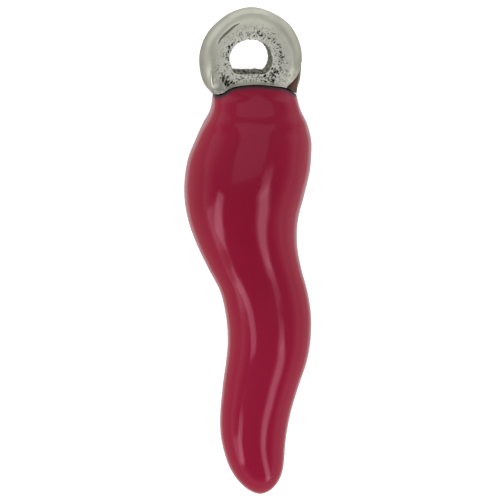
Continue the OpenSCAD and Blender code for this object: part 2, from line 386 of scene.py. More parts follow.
outlineRows = [
    # angle from the right, and radius as a share of the loop's radius
    (-26, 1.064),
    (-18.4, 1.027),
    (-9.6, 1.003),
    (0, 0.985),
    (18, 0.989),
    (38, 0.997),
    (54, 0.991),
    (68, 0.99),
    (80, 1.001),
    (90, 1.007),
    (99, 1.0),
    (112, 0.984),
    (132, 0.97),
    (152, 0.985),
    (170, 0.996),
    (184, 1.008),
    (205, 1.024),
    (213, 1.022),
]
loopShape = {
    "radius": 4.22,
    "thick": 3.5,
    "shoulder": 3.0,  # where the flat face turns into the round shoulder,
    "flatLimits": (0.3, 0.75),  # kept between these shares of the way out
    "band": 0.3,  # half the straight band round the outside
    "holeRadius": 1.76,
    "holeFloor": 1.22,
    "holeX": -0.2,
    "holeY": 0.12,
    "archDrop": 0.06,  # the arch is a little lower than round
    "corner": 12,  # how sharp the hole's lower corners are
    "proud": 0.16,  # saddle's edge over the resin in front,
    "sideProud": 0.06,  # and at the sides
    "gap": 0.08,  # under the saddle, for the glue
    "tipTurn": 85,  # degrees round the neck where the front edge of the saddle ends
    "cornerTurn": 4,  # degrees between the ring's end and the saddle's first column
    "cornerCols": 6,  # last columns, which don't count as underside
    "bend": 0.6,  # how far the saddle's faces bow out as they flare
    "ringCols": 320,
    "lipCols": 152,
    "flatRows": 34,
    "shoulderRows": 36,
    "outerRows": 30,
    "wallRows": 34,
    "postRadius": 0.75,
    "postLength": 3.0,
    "postRoot": 0.6,  # how far the pin reaches up into the saddle
    "postSides": 48,
}
# Rows of the grid where the front face ends, and where the back one begins and ends
faceRows = loopShape["flatRows"] + loopShape["shoulderRows"] + 1
rimRow = faceRows - 1
backRim = faceRows + loopShape["outerRows"]
backEdge = backRim + faceRows - 1


def holeEdge(turn):
    # From the loop's centre to the hole: an arch and a flat floor, blended by (a^-n + b^-n)^(-1/n)
    s = loopShape
    side = s["holeX"] * np.cos(turn) + s["holeY"] * np.sin(turn)
    arch = side + np.sqrt(s["holeRadius"] ** 2 - s["holeX"] ** 2 - s["holeY"] ** 2 + side * side)
    arch *= 1 - s["archDrop"] * np.maximum(np.sin(turn), 0) ** 2
    floor = (s["holeFloor"] - s["holeY"]) / np.maximum(-np.sin(turn), 0.05)
    return (arch ** -s["corner"] + floor ** -s["corner"]) ** (-1 / s["corner"])


def behindTurn(turn):
    # The angle round the neck that lies straight behind another
    return np.where(turn < 0, -np.pi, np.pi) - turn


def lipPoint(turn):
    # The saddle's edge, which stands proud of the resin, most in front and behind
    s = loopShape
    return podPoint(lipDrop(turn), turn, mix(s["sideProud"], s["proud"], np.cos(turn) ** 2))


def flip(points):
    # Mirrored from front to back
    return points * [1, 1, -1]


def loopGrid():
    # Columns run round the ring and back along the saddle. Each crosses the front face, the outside
    # or underside, the back face and the hole's wall, and closes on itself.
    s = loopShape
    first, last = math.radians(outlineRows[0][0]), math.radians(outlineRows[-1][0])
    ringTurn = mix(first, last, (np.arange(s["ringCols"]) + 0.5) / s["ringCols"])
    radius = s["radius"] * readTable(outlineRows, np.degrees(ringTurn), 1)
    x, y = radius * np.cos(ringTurn), radius * np.sin(ringTurn)
    ringRim = np.stack([x, y, np.full_like(x, s["band"])], -1)
    t = np.arange(s["lipCols"]) / (s["lipCols"] - 1)
    neckTurn = math.radians(s["tipTurn"]) * (2 * t - 1)
    corner = math.radians(s["cornerTurn"])
    lipInner = mix(last + corner, first + 2 * np.pi - corner, t)
    side = np.abs(np.sin(neckTurn))
    inner = np.concatenate([ringTurn, lipInner])
    front = np.concatenate([ringRim, lipPoint(neckTurn)])
    back = np.concatenate([flip(ringRim), lipPoint(behindTurn(neckTurn))])
    soft = np.concatenate([np.ones(s["ringCols"]), side ** 3])[:, None]
    bent = np.concatenate([np.zeros(s["ringCols"]), s["bend"] * side * side])[:, None]
    hole = (holeEdge(inner) * np.array([np.cos(inner), np.sin(inner)])).T

    def face(outer):
        # Flat out from the hole, then a quarter ellipse down the shoulder, or an S-shaped flare
        # onto the saddle
        rim = outer[:, :2]
        start = np.linalg.norm(hole, axis=1)
        flat = (s["shoulder"] - start) / (np.linalg.norm(rim, axis=1) - start)
        flat = np.clip(flat, *s["flatLimits"])[:, None]
        k = np.arange(s["flatRows"] + 1) / s["flatRows"]
        flatOut = flat * mix(k, k * k, 0.5)[None, :]
        arc = np.arange(1, s["shoulderRows"] + 1)[None, :] / s["shoulderRows"] * np.pi / 2
        shoulder = mix(flat, 1, mix(arc / (np.pi / 2), np.sin(arc), soft))
        fall = mix(ramp(arc, 0, np.pi / 2), 1 - np.cos(arc), soft)
        out = np.concatenate([flatOut, shoulder], 1)
        fall = np.concatenate([np.zeros_like(flatOut), fall], 1)
        across = mix(out, np.sin(out * np.pi / 2), bent)
        down = mix(out, 1 - np.cos(out * np.pi / 2), bent)
        return np.stack([mix(hole[:, :1], rim[:, :1], across),
                         mix(hole[:, 1:], rim[:, 1:], down),
                         mix(s["thick"] / 2, outer[:, 2:], fall)], -1)

    share = (1 - np.cos(np.pi * np.arange(1, s["outerRows"] + 1) / (s["outerRows"] + 1))) / 2
    share = share[None, :, None]
    outside = mix(front[:, None, :], back[:, None, :], share)
    neckFront = podPoint(lipDrop(neckTurn), neckTurn)
    neckBack = podPoint(lipDrop(behindTurn(neckTurn)), behindTurn(neckTurn))
    under = mix(neckFront[:, None, :], neckBack[:, None, :], share)
    under[..., 1] = seatHeight(under[..., 0], under[..., 2]) + s["gap"]
    outside[s["ringCols"]:] = under
    height = s["thick"] * (np.arange(1, s["wallRows"] + 1) / (s["wallRows"] + 1) - 0.5)
    height = s["thick"] / 2 * np.sin(height / s["thick"] * np.pi)
    wall = np.broadcast_to(hole[:, None, :], (len(hole), len(height), 2))
    wall = np.concatenate([wall, np.broadcast_to(height[None, :, None], wall.shape[:2] + (1,))], -1)
    return np.concatenate([face(front), outside, flip(face(flip(back)))[:, ::-1], wall], 1)


def softenRows(grid, rows, passes, fade=(2, 6)):
    # Rounds the edge at each of the rows: every pass moves a point up to halfway to its neighbours' mean
    total = grid.shape[1]
    weight = np.zeros(total)
    for row in rows:
        gap = np.abs((np.arange(total) - row + total // 2) % total - total // 2)
        weight = np.maximum(weight, 1 - ramp(gap, *fade))
    for n in range(passes):
        mean = (np.roll(grid, -1, 1) + np.roll(grid, 1, 1)) / 2
        grid = mix(grid, mean, 0.5 * weight[None, :, None])
    return grid


def pathDistance(xy, path):
    # Signed distance to a broken line, positive on its right, and the share of the way along it
    best = np.full(xy.shape[:-1], 1e9)
    signed = np.zeros_like(best)
    share = np.zeros_like(best)
    path = np.array(path, float)
    step = np.diff(path, axis=0)
    length = np.linalg.norm(step, axis=1)
    start = np.concatenate([[0], np.cumsum(length)])
    for a, d, n, s0 in zip(path[:-1], step, length, start):
        t = np.clip(((xy - a) @ d) / (n * n), 0, 1)
        off = xy - (a + t[..., None] * d)
        dist = np.linalg.norm(off, axis=-1)
        near = dist < best
        side = np.sign(off[..., 0] * d[1] - off[..., 1] * d[0])
        best = np.where(near, dist, best)
        signed = np.where(near, dist * side, signed)
        share = np.where(near, (s0 + t * n) / start[-1], share)
    return signed, share


# Millimetres, degrees round the loop's centre, or shares of a path or a strength. Most pairs are the
# ends of a ramp, and most threes the ends of a window and its soft step.
relief = {
    "rounding": {"edgePasses": 7, "cornerPasses": 30},
    "floor": {"rise": 0.13, "across": (-1.2, 0.75, 0.4), "up": (-1.3, -1.0, 0.35), "back": (-0.9, 1.6)},
    "flush": {"inward": 0.1, "up": (0.02, 0.6), "across": (3.0, 3.6), "side": (-1.1, -0.5)},
    "skin": {
        "waveHeight": 0.012, "waveSize": 2.2, "flat": (0.75, 0.97),
        "grainHeight": 0.009, "grainSizes": (0.28, 0.17), "grainEnd": (2.75, 3.2), "least": 0.15,
        "bridgeUp": (0.9, 1.6), "bridgeAcross": (2.8, 3.3),
        "base": 0.5, "near": 0.45, "border": (0.1, 0.9),  # more of it beside the hole,
        "low": 0.3, "slant": 0.6, "lowRight": (-0.6, 2.2),  # and low on the right
    },
    "flaps": {
        "up": (1.2, 1.9), "across": (1.6, 2.3), "end": (3.1, 3.35), "grain": 0.8,
        "stain": (0.3, 0.2, 0.5),  # mean, spread and size of the smudges
    },
    "rightStain": {"dark": 0.14, "across": (0.8, 2.2), "up": (-1.2, -0.2)},
    "crease": {
        "path": [(-3.02, 1.20), (-2.72, 1.80), (-2.38, 2.14), (-1.97, 2.51), (-1.57, 2.86), (-0.96, 3.18)],
        "width": 0.105, "depth": 0.03, "soft": 0.03, "ends": (0.02, 0.06), "dark": 0.66,
        # a painted highlight along the crease's outer edge
        "edgeOff": 0.06, "edgeWidth": 0.05, "edgeShine": 0.5,
    },
    # a painted dark reflection round the top of the shoulder
    "line": {"radius": 3.78, "width": 0.05, "turn": (72, 108, 14), "dark": 0.2},
    "ridge": {
        "path": [(-3.32, -0.45), (-3.42, -0.95), (-3.42, -1.45), (-3.34, -2.0), (-3.12, -2.55)],
        "height": 0.06, "width": 0.10, "span": (0.35, 0.9, 0.3),
        # a painted highlight line low on the ridge
        "glint": (0.3, 0.6), "glintOff": 0.02, "glintWidth": 0.05, "shine": 0.8,
    },
    "recess": {
        "path": [(4.08, -0.15), (3.98, -0.55), (3.82, -0.97), (3.58, -1.35), (3.28, -1.67), (3.0, -1.92),
                 (2.76, -2.06), (2.6, -2.3)],
        "depth": 0.24, "step": (0.0, 0.13), "start": (0.0, 0.1), "up": (0.02, 0.75), "side": (-1.1, -0.5),
        # the recess's darkening, partly patina and partly painted shade
        "across": 2.4, "fade": (0.1, 0.5), "dark": (0.98, 0.84),
        # a painted highlight along the flap's edge
        "edgeHeight": 0.015, "edgeOff": 0.07, "edgeWidth": 0.08, "edgeStart": (0.1, 0.4), "edgeShine": 0.15,
    },
    "pits": {
        "depth": 0.05, "slope": (0.25, 0.8), "dark": (0.3, 0.75), "end": 3.7,
        "lean": 18, "grow": (0.7, 1.25), "share": (0.55, 1),  # spread of their lean, size and depth
    },
    "wall": {
        "rough": 0.05, "least": 0.3, "lumps": (0.5, 0.27), "start": (0.1, 0.35), "wander": 0.12,
        "stain": (0.42, 0.7, 0.26),  # mean, spread and size of its patches,
        "bright": 0.5, "brightTurn": (-22, 70, 14),  # half of it worn off at the right
    },
    # painted highlights along the hole's front edge and the saddle's rim
    "rims": {
        "width": 0.075, "right": (-50, 30, 12), "low": (-130, -50, 12), "lowShare": 0.5, "shine": 0.8,
        "lipRows": 4, "lipEnd": (2.4, 2.8), "lipShine": 0.9,
    },
    "underDark": 0.9,
}
pitClusters = [
    # middle x, y, spread, count, half length, half width, lean in degrees
    (0.4, 2.38, 0.1, 7, 0.1, 0.055, 120),
    (0.62, 2.08, 0.09, 5, 0.11, 0.05, 150),
    (0.95, 1.98, 0.12, 4, 0.1, 0.04, 10),
    (1.4, 1.82, 0.16, 7, 0.11, 0.04, 150),
    (1.68, 1.52, 0.12, 4, 0.09, 0.045, 30),
    (2.05, 1.2, 0.1, 5, 0.11, 0.04, 170),
    (2.2, 0.55, 0.18, 10, 0.1, 0.045, 160),
    (2.35, 0.05, 0.26, 16, 0.07, 0.035, 60),
    (1.55, -0.78, 0.12, 7, 0.12, 0.055, 40),
    (1.8, -1.12, 0.16, 12, 0.12, 0.06, 80),
    (2.04, -0.7, 0.16, 7, 0.08, 0.045, 130),
    (1.45, -1.25, 0.12, 6, 0.09, 0.05, 50),
    (1.5, -1.66, 0.08, 6, 0.12, 0.08, 150),
    (0.92, -1.24, 0.04, 4, 0.12, 0.08, 40),
    (0.98, -1.64, 0.1, 6, 0.09, 0.055, 60),
    (2.5, -1, 0.3, 12, 0.05, 0.03, 90),
    (2.22, -1.96, 0.04, 2, 0.08, 0.04, 10),
    (3.4, -1.05, 0.07, 4, 0.08, 0.03, 175),
    (-1.02, 2.18, 0.09, 4, 0.06, 0.04, 0),
    (-0.38, 2.17, 0.05, 3, 0.07, 0.05, 70),
    (0.08, 2.05, 0.06, 2, 0.06, 0.04, 20),
    (-1.74, 1.34, 0.07, 4, 0.1, 0.05, 40),
    (-2.02, 1.12, 0.07, 5, 0.09, 0.055, 60),
    (-2.2, 0.68, 0.1, 6, 0.11, 0.05, 60),
    (-2.05, 0.2, 0.1, 8, 0.07, 0.045, 90),
    (-2.26, -0.25, 0.06, 3, 0.11, 0.04, 30),
    (-2.74, -0.6, 0.22, 14, 0.045, 0.035, 60),
    (-2.75, -1.2, 0.14, 8, 0.09, 0.045, 85),
    (-2.38, -1.32, 0.1, 7, 0.14, 0.05, 85),
    (-2.11, -1.36, 0.04, 2, 0.16, 0.045, 66),
    (-2.52, -1.5, 0.12, 7, 0.1, 0.05, 80),
    (-2.22, -1.72, 0.16, 20, 0.14, 0.05, 78),
    (-2.04, -1.98, 0.14, 14, 0.13, 0.048, 75),
    (-1.8, -1.74, 0.07, 6, 0.15, 0.05, 70),
    (-1.56, -1.79, 0.04, 3, 0.11, 0.06, 40),
    (-1.28, -1.62, 0.1, 4, 0.09, 0.03, 5),
    (-2.66, -2.5, 0.05, 3, 0.12, 0.05, 175),
    (-0.62, -1.72, 0.02, 2, 0.12, 0.025, 90),
    (0.35, -1.7, 0.3, 5, 0.05, 0.03, 30),
    (-0.9, -1.45, 0.2, 7, 0.08, 0.045, 20),
    (0, -1.48, 0.28, 9, 0.06, 0.04, 10),
    (0.65, -1.45, 0.18, 6, 0.07, 0.04, 30),
    (0.2, 2.55, 0.28, 8, 0.05, 0.03, 30),
    (-0.9, 2.55, 0.3, 7, 0.05, 0.03, 140),
    (1.2, 2.25, 0.22, 9, 0.06, 0.035, 150),
    (2.4, -0.45, 0.2, 8, 0.06, 0.035, 80),
]


def pitField(xy, seed):
    # Depth from 0 to 1 of many small oval pits, each 1 / (1 + r^4) deep at r radii from its middle
    pit = relief["pits"]
    rng = np.random.default_rng(seed)
    depth = np.zeros(xy.shape[:-1])
    for x, y, spread, count, long, wide, lean in pitClusters:
        for n in range(count):
            middle = np.array([x, y]) + rng.normal(size=2) * spread
            away = xy - middle
            aim = math.radians(lean + rng.normal() * pit["lean"])
            grow = rng.uniform(*pit["grow"], 2)
            u = (away[..., 0] * math.cos(aim) + away[..., 1] * math.sin(aim)) / (long * grow[0])
            v = (away[..., 1] * math.cos(aim) - away[..., 0] * math.sin(aim)) / (wide * grow[1])
            depth = np.maximum(depth, rng.uniform(*pit["share"]) / (1 + (u * u + v * v) ** 2))
    return depth


def easedGrid():
    # The loop's grid with its edges rounded, and how high each point lies over the saddle's edge
    passes, floor, flush = relief["rounding"], relief["floor"], relief["flush"]
    grid = softenRows(loopGrid(), [0, rimRow, backRim, backEdge], passes["edgePasses"])
    # And the corner at the right where the ring meets the saddle
    grid = softenRows(grid.swapaxes(0, 1), [0], passes["cornerPasses"]).swapaxes(0, 1).copy()

    # The hole's floor climbs towards the back
    x, y, z = grid[..., 0], grid[..., 1], grid[..., 2]
    nearFloor = window(x, *floor["across"]) * window(y, *floor["up"])
    grid[..., 1] += floor["rise"] * nearFloor * ramp(-z, *floor["back"])

    # The right end of the saddle's edge lies flush with the neck
    aboveLip = y + lipDrop(np.arctan2(x - podMiddle(podShape["seatDrop"]), z))
    nearLip = ramp(z, *flush["side"]) * (1 - ramp(aboveLip, *flush["up"]))
    grid[..., 0] -= flush["inward"] * nearLip * ramp(x, *flush["across"])
    return grid, aboveLip


def surveyed(grid, aboveLip):
    # Where each point of the grid lies, for the functions below
    s = loopShape
    x, y, z = grid[..., 0], grid[..., 1], grid[..., 2]
    normals = -unitNormals(grid, (np.roll(grid, -1, 0) - np.roll(grid, 1, 0)) / 2)
    rows = np.arange(grid.shape[1])[None, :]
    isSaddle = (np.arange(len(grid)) >= s["ringCols"])[:, None]
    isWall = rows > backEdge
    isUnder = (rows >= faceRows) & (rows < backRim) & isSaddle
    isUnder[-s["cornerCols"]:] = False
    spread, angle = np.hypot(x, y), np.arctan2(y, x)
    return SimpleNamespace(
        grid=grid, xy=grid[..., :2], x=x, y=y, z=z, aboveLip=aboveLip, normals=normals, rows=rows,
        spread=spread, turn=np.degrees(angle),  # from the loop's centre
        fromEdge=np.where(isWall, s["thick"] / 2 - z, spread - holeEdge(angle)),
        flatness=ramp(np.abs(normals[..., 2]), *relief["skin"]["flat"]),
        isSaddle=isSaddle, isUnder=isUnder, isWall=isWall,
        isFront=rows < faceRows, isBack=(rows >= backRim) & (rows <= backEdge))


def skinRelief(at):
    # Cast and tumbled skin: slow waves everywhere, grain on the flat faces, most of it near the hole
    # and low on the right, and faint stains
    r, f, right = relief["skin"], relief["flaps"], relief["rightStain"]
    wide = np.abs(at.x)
    bridge = ramp(-at.y, *r["bridgeUp"]) * (1 - ramp(wide, *r["bridgeAcross"]))
    inward = np.maximum(1 - ramp(at.spread, *r["grainEnd"]), bridge)
    coarse = r["base"] + r["near"] * (1 - ramp(at.fromEdge, *r["border"]))
    coarse += r["low"] * ramp(r["slant"] * at.x - at.y, *r["lowRight"])
    grain = (at.isFront | at.isBack) * at.flatness * np.clip(coarse, 0, 1) * mix(r["least"], 1, inward)
    flaps = at.isFront * ramp(-at.y, *f["up"]) * ramp(wide, *f["across"]) * (1 - ramp(wide, *f["end"]))
    grain = np.maximum(grain, f["grain"] * flaps)
    coarseSize, fineSize = r["grainSizes"]
    bumps = ripple(at.grid, coarseSize, 22) + 0.7 * ripple(at.grid, fineSize, 23)
    lift = r["waveHeight"] * ripple(at.grid, r["waveSize"], 21) + r["grainHeight"] * grain * bumps
    mean, vary, size = f["stain"]
    stain = flaps * (at.x < 0) * (mean + vary * ripple(at.grid, size, 28))
    isRight = at.isFront * ramp(at.x, *right["across"]) * ramp(at.y, *right["up"])
    return lift, grain, np.maximum(stain, right["dark"] * isRight)


def creaseRelief(at):
    # Crescent crease at the upper left: a shallow blackened step, as wide as a sine arch along its
    # path, with a painted highlight along its outer edge
    r = relief["crease"]
    off, share = pathDistance(at.xy, r["path"])
    half = r["width"] * np.sin(np.pi * share) ** 0.7
    ends = ramp(half, *r["ends"]) * at.isFront
    crease = ends * (1 - ramp(np.abs(off), half - r["soft"], half + r["soft"]))
    edge = ends * bell(off + half + r["edgeOff"], r["edgeWidth"])
    return -r["depth"] * crease, r["dark"] * crease, r["edgeShine"] * edge


def ridgeRelief(at):
    # Ridge down the left flap, a bell curve across its path, and a painted highlight line low on it
    r = relief["ridge"]
    off, share = pathDistance(at.xy, r["path"])
    span = window(share, *r["span"]) * at.isFront
    glint = span * ramp(share, *r["glint"]) * bell(off + r["glintOff"], r["glintWidth"])
    return r["height"] * span * bell(off, r["width"]), r["shine"] * glint


def recessRelief(at):
    # Recess behind the right flap: a soft step down on the far side of its path, shallower towards the
    # saddle's edge, darkened and browned partly as patina and partly as painted shade, and a low bell
    # curve along the flap's edge beside it, with a painted highlight
    r = relief["recess"]
    off, share = pathDistance(at.xy, r["path"])
    isPast = at.x > r["across"]
    hollow = ramp(-off, *r["step"]) * ramp(share, *r["start"]) * ramp(at.z, *r["side"])
    hollow *= isPast & (at.rows < backRim) & ~at.isUnder
    edge = bell(off - r["edgeOff"], r["edgeWidth"]) * ramp(share, *r["edgeStart"]) * (at.isFront & isPast)
    lift = r["edgeHeight"] * edge - r["depth"] * hollow * ramp(at.aboveLip, *r["up"])
    return lift, hollow, hollow * mix(*r["dark"], ramp(-off, *r["fade"])), r["edgeShine"] * edge


def wallRelief(at):
    # The hole's wall: lumps and a patchy stain, both strongest a little inside its edges
    r = relief["wall"]
    bigLump, smallLump = r["lumps"]
    inside = loopShape["thick"] / 2 - np.abs(at.z) + r["wander"] * ripple(at.grid, bigLump, 26)
    deep = at.isWall * ramp(inside, *r["start"])
    lumps = ripple(at.grid, bigLump, 24) + 0.8 * ripple(at.grid, smallLump, 25)
    lift = r["rough"] * mix(r["least"], 1, deep) * at.isWall * (lumps - 0.2)
    mean, vary, size = r["stain"]
    dark = deep * np.clip(mean + vary * ripple(at.grid, size, 27), 0, 1)
    return lift, dark * (1 - r["bright"] * window(at.turn, *r["brightTurn"]))


def pitRelief(at):
    # Pits on the flat part of both faces
    r = relief["pits"]
    pits = pitField(at.xy, 31) * at.isFront + pitField(at.xy * [-1, 1], 32) * at.isBack
    pits *= at.flatness * (at.spread < r["end"])
    return -r["depth"] * ramp(pits, *r["slope"]), ramp(pits, *r["dark"])


def litRims(at):
    # Painted highlights: a bell curve along the hole's front edge, and one along the saddle's rim
    r = relief["rims"]
    where = np.maximum(window(at.turn, *r["right"]), r["lowShare"] * window(at.turn, *r["low"]))
    hole = bell(at.fromEdge, r["width"]) * (at.z > 0) * (at.isFront | at.isWall) * where
    lip = bell(at.rows - rimRow, r["lipRows"]) * at.isSaddle * (1 - ramp(at.x, *r["lipEnd"]))
    return r["shine"] * hole, r["lipShine"] * lip


def makeLoop():
    # The eased grid, moved along its normals by the sum of all relief. The strongest mark counts.
    at = surveyed(*easedGrid())
    skinLift, grain, stain = skinRelief(at)
    creaseLift, creaseDark, creaseShine = creaseRelief(at)
    ridgeLift, ridgeShine = ridgeRelief(at)
    recessLift, hollow, darkness, flapShine = recessRelief(at)
    wallLift, wallDark = wallRelief(at)
    pitLift, pitDark = pitRelief(at)
    holeShine, lipShine = litRims(at)
    # Painted dark reflection: a faint line round the top of the shoulder
    line = relief["line"]
    darkReflectionLine = bell(at.spread - line["radius"], line["width"]) * window(at.turn, *line["turn"]) * at.isFront

    lift = skinLift + creaseLift + ridgeLift + recessLift + pitLift + wallLift
    # Painted highlights along rims and edges, which are also made smoother
    polish = np.maximum.reduce([holeShine, lipShine, ridgeShine, creaseShine, flapShine])
    underDark = relief["underDark"] * at.isUnder
    # Patina in the pits, crease and hole, real stains, dark under the saddle, patina and painted shade in
    # the recess, and a painted dark reflection line
    patina = np.maximum.reduce([
        pitDark, creaseDark, line["dark"] * darkReflectionLine, darkness, wallDark, stain, underDark])
    grid = at.grid + at.normals * lift[..., None]
    marks = {"patina": patina, "grain": grain, "brown": hollow, "polish": polish}
    faces = quadStrip(*grid.shape[:2], closeRows=True)[:, ::-1]
    return makePiece("loop_casting", grid, faces.tolist(), "loop", marks)


def makePost():
    # A plain pin with rounded ends: radius against length along the seat's axis
    s = loopShape
    turn = np.arange(s["postSides"]) / s["postSides"] * 2 * np.pi
    middle = podMiddle(podShape["seatDrop"])
    top, end = s["postRoot"] - podShape["seatDrop"], -podShape["seatDrop"] - s["postLength"]
    length = np.concatenate([[top] * 2, np.linspace(top - 0.1, end + 0.1, 12), [end + 0.03, end, end]])
    radius = s["postRadius"] * np.concatenate([[0.5, 0.93], np.ones(12), [0.97, 0.87, 0.45]])
    x, z = middle + radius[:, None] * np.sin(turn), radius[:, None] * np.cos(turn)
    rings = np.stack([x, np.repeat(length[:, None], s["postSides"], 1), z], -1)
    points, faces = closedTube(rings, [middle, top, 0], [middle, end, 0])
    patina = np.full(len(points), 0.3)
    return makePiece("loop_post", points, faces, None, {"patina": patina})


def findOrigin():
    # Where the pendant's own origin lies: its laid box is centred on the solids' box and as low
    p = podShape
    turn = np.linspace(-np.pi, np.pi, 181)
    capDrops = p["reach"] * mix(p["capFrom"], 1, np.sin(np.linspace(0, 1.55, 80)))
    drops = np.concatenate([np.linspace(3, 32, 400), capDrops])
    pod = podPoint(drops[:, None], turn[None, :])
    laid = lieDown(np.concatenate([pod.reshape(-1, 3), loopGrid().reshape(-1, 3)])) * mm
    low, high = laid.min(0), laid.max(0)
    place = np.add(cadLow, cadHigh) / 2 - (low + high) / 2
    place[2] = cadLow[2] - low[2]
    return place


ownOrigin = findOrigin()
print("own origin in mm:", (ownOrigin / mm).round(3).tolist())
pepper = makePepper()
loop = makeLoop()
post = makePost()


# Materials

def linear(code):
    # sRGB hex to linear red, green, blue, alpha by the sRGB curve
    parts = [int(code[i:i + 2], 16) / 255 for i in (1, 3, 5)]
    return [c / 12.92 if c <= 0.04045 else ((c + 0.055) / 1.055) ** 2.4 for c in parts] + [1]


def addNode(tree, kind, settings=None, links=None, stops=()):
    # Adds a shader node. A setting is a socket's value, or a property if there is no such socket. A
    # link comes from a node's given or first output. Stops are the two ends of a colour ramp.
    made = tree.nodes.new("ShaderNode" + kind)
    for key, value in (settings or {}).items():
        if isinstance(key, int) or key in made.inputs:
            made.inputs[key].default_value = value
        else:
            setattr(made, key, value)
    for key, source in (links or {}).items():
        output = source.outputs[0] if isinstance(source, bpy.types.Node) else source
        tree.links.new(output, made.inputs[key])
    for n, (at, colour) in enumerate(stops):
        made.color_ramp.elements[n].position = at
        made.color_ramp.elements[n].color = linear(colour)
    return made


def startMaterial(name):
    # An empty material, and what adds nodes to it
    material = bpy.data.materials.new(name)
    material.use_nodes = True
    material.node_tree.nodes.clear()
    return material, partial(addNode, material.node_tree)


resinLook = {
    "clouds": ((0.3, "#6d0b24"), (0.7, "#750f28")),  # noise and colour
    # painted light shining through the thin tip
    "thin": "#790f2b",
    # painted light: the sides lighter, where light comes through and reflections turn red
    "edge": "#98162f",
    # painted pale rim: the white card reflected and shining through along the outline
    "skin": "#d8abad",
    # painted shade and dark reflection under the saddle's edge, with some brown glue
    "crevice": "#2b2325",
    "cloudSize": 7.0,  # mm
    "edgeBlend": 0.35,
    "paleRimFrom": 0.5,  # the slant where the painted pale rim begins,
    "paleRimTo": 0.96,  # and where it is full
    "rippleSize": 2.6,  # mm, faint unevenness of the polish
    "rippleDepth": 0.2,  # mm
    "rippleShare": 0.05,
    "roughness": 0.12,
    "index": 1.54,
    "scatter": 0.08,
    "scatterDepth": 1.2,  # mm
    "scatterColour": (1.0, 0.12, 0.18),
    "gleam": (1, 0.46, 0.61, 1),  # reflections pick up the resin's colour
}


def polishedResin():
    # Cast polyester resin, tinted dark red and tumbled to a wet gloss: a flat deep colour, with painted
    # light shining through towards the thin tip and the sides, sharp window reflections, a painted pale
    # rim of reflected and through-shining white along the outline, and painted shade under the metal
    look = resinLook
    material, add = startMaterial("polished_cast_resin")
    where = {"Vector": add("TexCoord").outputs["Object"]}
    cloud = add("TexNoise", {"Scale": perMetre / look["cloudSize"], "Detail": 2.0}, where)
    # Painted light: lighter red at the sides and a pale rim along the outline, both by the slant
    slant = add("LayerWeight", {"Blend": look["edgeBlend"]}).outputs["Facing"]
    rim = add("MapRange", {"From Min": look["paleRimFrom"], "From Max": look["paleRimTo"]}, {"Value": slant})
    masks = [add("Attribute", {"attribute_name": name}) for name in ("thin", "crevice")]
    thin, crevice = [mask.outputs["Fac"] for mask in masks]
    body = add("ValToRGB", links={"Fac": cloud}, stops=look["clouds"])
    for name, share in {"thin": thin, "edge": slant, "skin": rim, "crevice": crevice}.items():
        body = add("Mix", {"data_type": "RGBA", 7: linear(look[name])}, {0: share, 6: body}).outputs[2]
    uneven = add("TexNoise", {"Scale": perMetre / look["rippleSize"], "Detail": 1.0}, where)
    bump = add("Bump", {"Strength": look["rippleShare"], "Distance": look["rippleDepth"] * mm},
               {"Height": uneven})
    shader = add("BsdfPrincipled", {
        "Roughness": look["roughness"],
        "IOR": look["index"],
        "Subsurface Weight": look["scatter"],
        "Subsurface Radius": look["scatterColour"],
        "Subsurface Scale": look["scatterDepth"] * mm,
        "Specular Tint": look["gleam"],
    }, {"Base Color": body, "Normal": bump})
    add("OutputMaterial", links={"Surface": shader})
    return material


metalLook = {
    "smudges": ((0.35, "#d2d2c1"), (0.65, "#e9e9d9")),  # noise and colour
    "specks": ((0.36, "#ffffff"), (0.49, "#000000")),  # noise and strength
    # colour of the painted highlights, and of the rubbed grain
    "rubbedAndHighlight": "#f9f9f1",
    # colour of the patina and of the painted shade
    "dark": "#35342a",
    # brown of the recess, partly patina and partly painted shade
    "brown": "#6a3a2e",
    "roughness": 0.44,
    "polishedRoughness": 0.25,
    "blackRoughness": 0.75,
    "grainRoughness": 0.16,
    "grainSize": 0.16,  # mm
    "grainDepth": 0.03,  # mm
    "grainStrength": 0.7,
    "grainShine": 0.75,  # the grain is rubbed brighter than the plain skin
    "speckDark": 0.62,
    "smudgeSize": 2.4,  # mm
}


